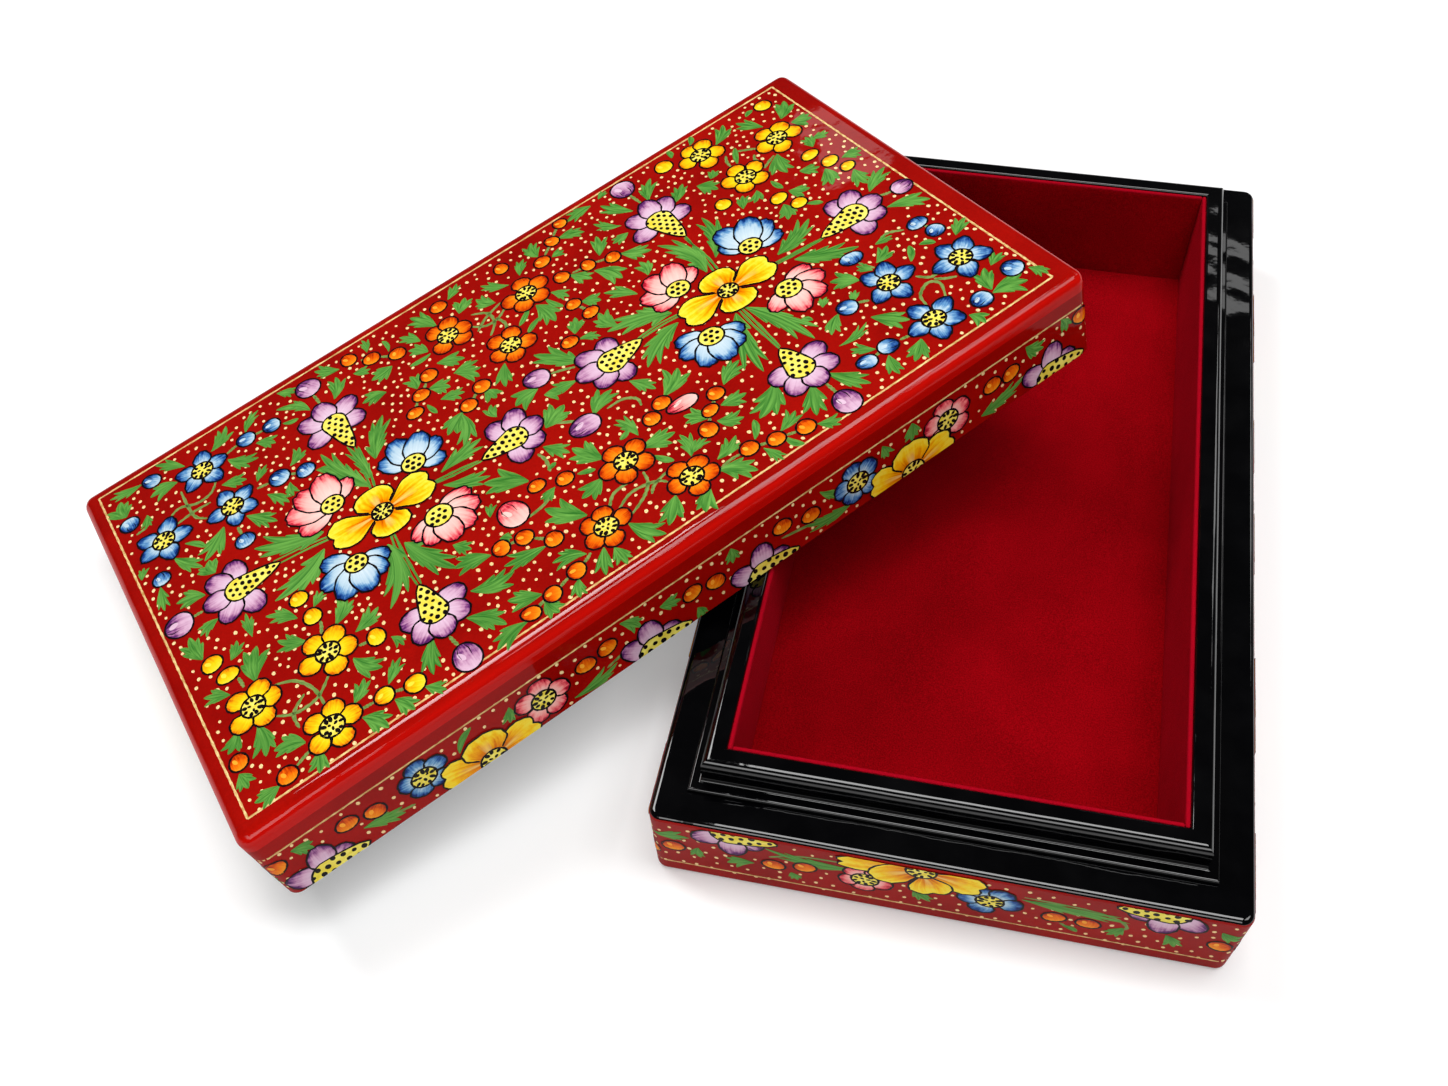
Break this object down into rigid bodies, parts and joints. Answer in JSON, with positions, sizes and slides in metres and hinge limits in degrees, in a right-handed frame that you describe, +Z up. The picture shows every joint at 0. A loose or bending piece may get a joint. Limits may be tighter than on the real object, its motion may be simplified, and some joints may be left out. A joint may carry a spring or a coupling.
{
  "type": "decorative box",
  "caption": "Lacquered rectangular keepsake box with a velvet-lined tray, a raised collar and a lift-off lid that leans open on the tray.",
  "frame": {"origin": "centre of the tray's underside", "axes": "+X across the tray's short side, +Y along its long side, +Z up"},
  "size_m": [0.3303, 0.2881, 0.083],
  "materials": {
    "red_lacquer": "gloss lacquer",
    "black_lacquer": "gloss lacquer",
    "velvet": "velvet"
  },
  "bodies": {
    "tray": {"tray_bottom": "black_lacquer", "tray_wall_front": "red_lacquer", "collar_front": "black_lacquer", "velvet_lining_front": "velvet", "tray_wall_right": "red_lacquer", "collar_right": "black_lacquer", "velvet_lining_right": "velvet", "tray_wall_back": "red_lacquer", "collar_back": "black_lacquer", "velvet_lining_back": "velvet", "tray_wall_left": "red_lacquer", "collar_left": "black_lacquer", "velvet_lining_left": "velvet", "velvet_floor": "velvet"},
    "lid": {"lid_top": "red_lacquer", "lid_wall_front": "red_lacquer", "lid_wall_right": "red_lacquer", "lid_wall_back": "red_lacquer", "lid_wall_left": "red_lacquer"}
  },
  "joints": [
    {"name": "lid_lift", "type": "slide", "parent": "tray", "child": "lid", "axis": [0, 0, 1], "range_m": [0, 0.15]}
  ]
}
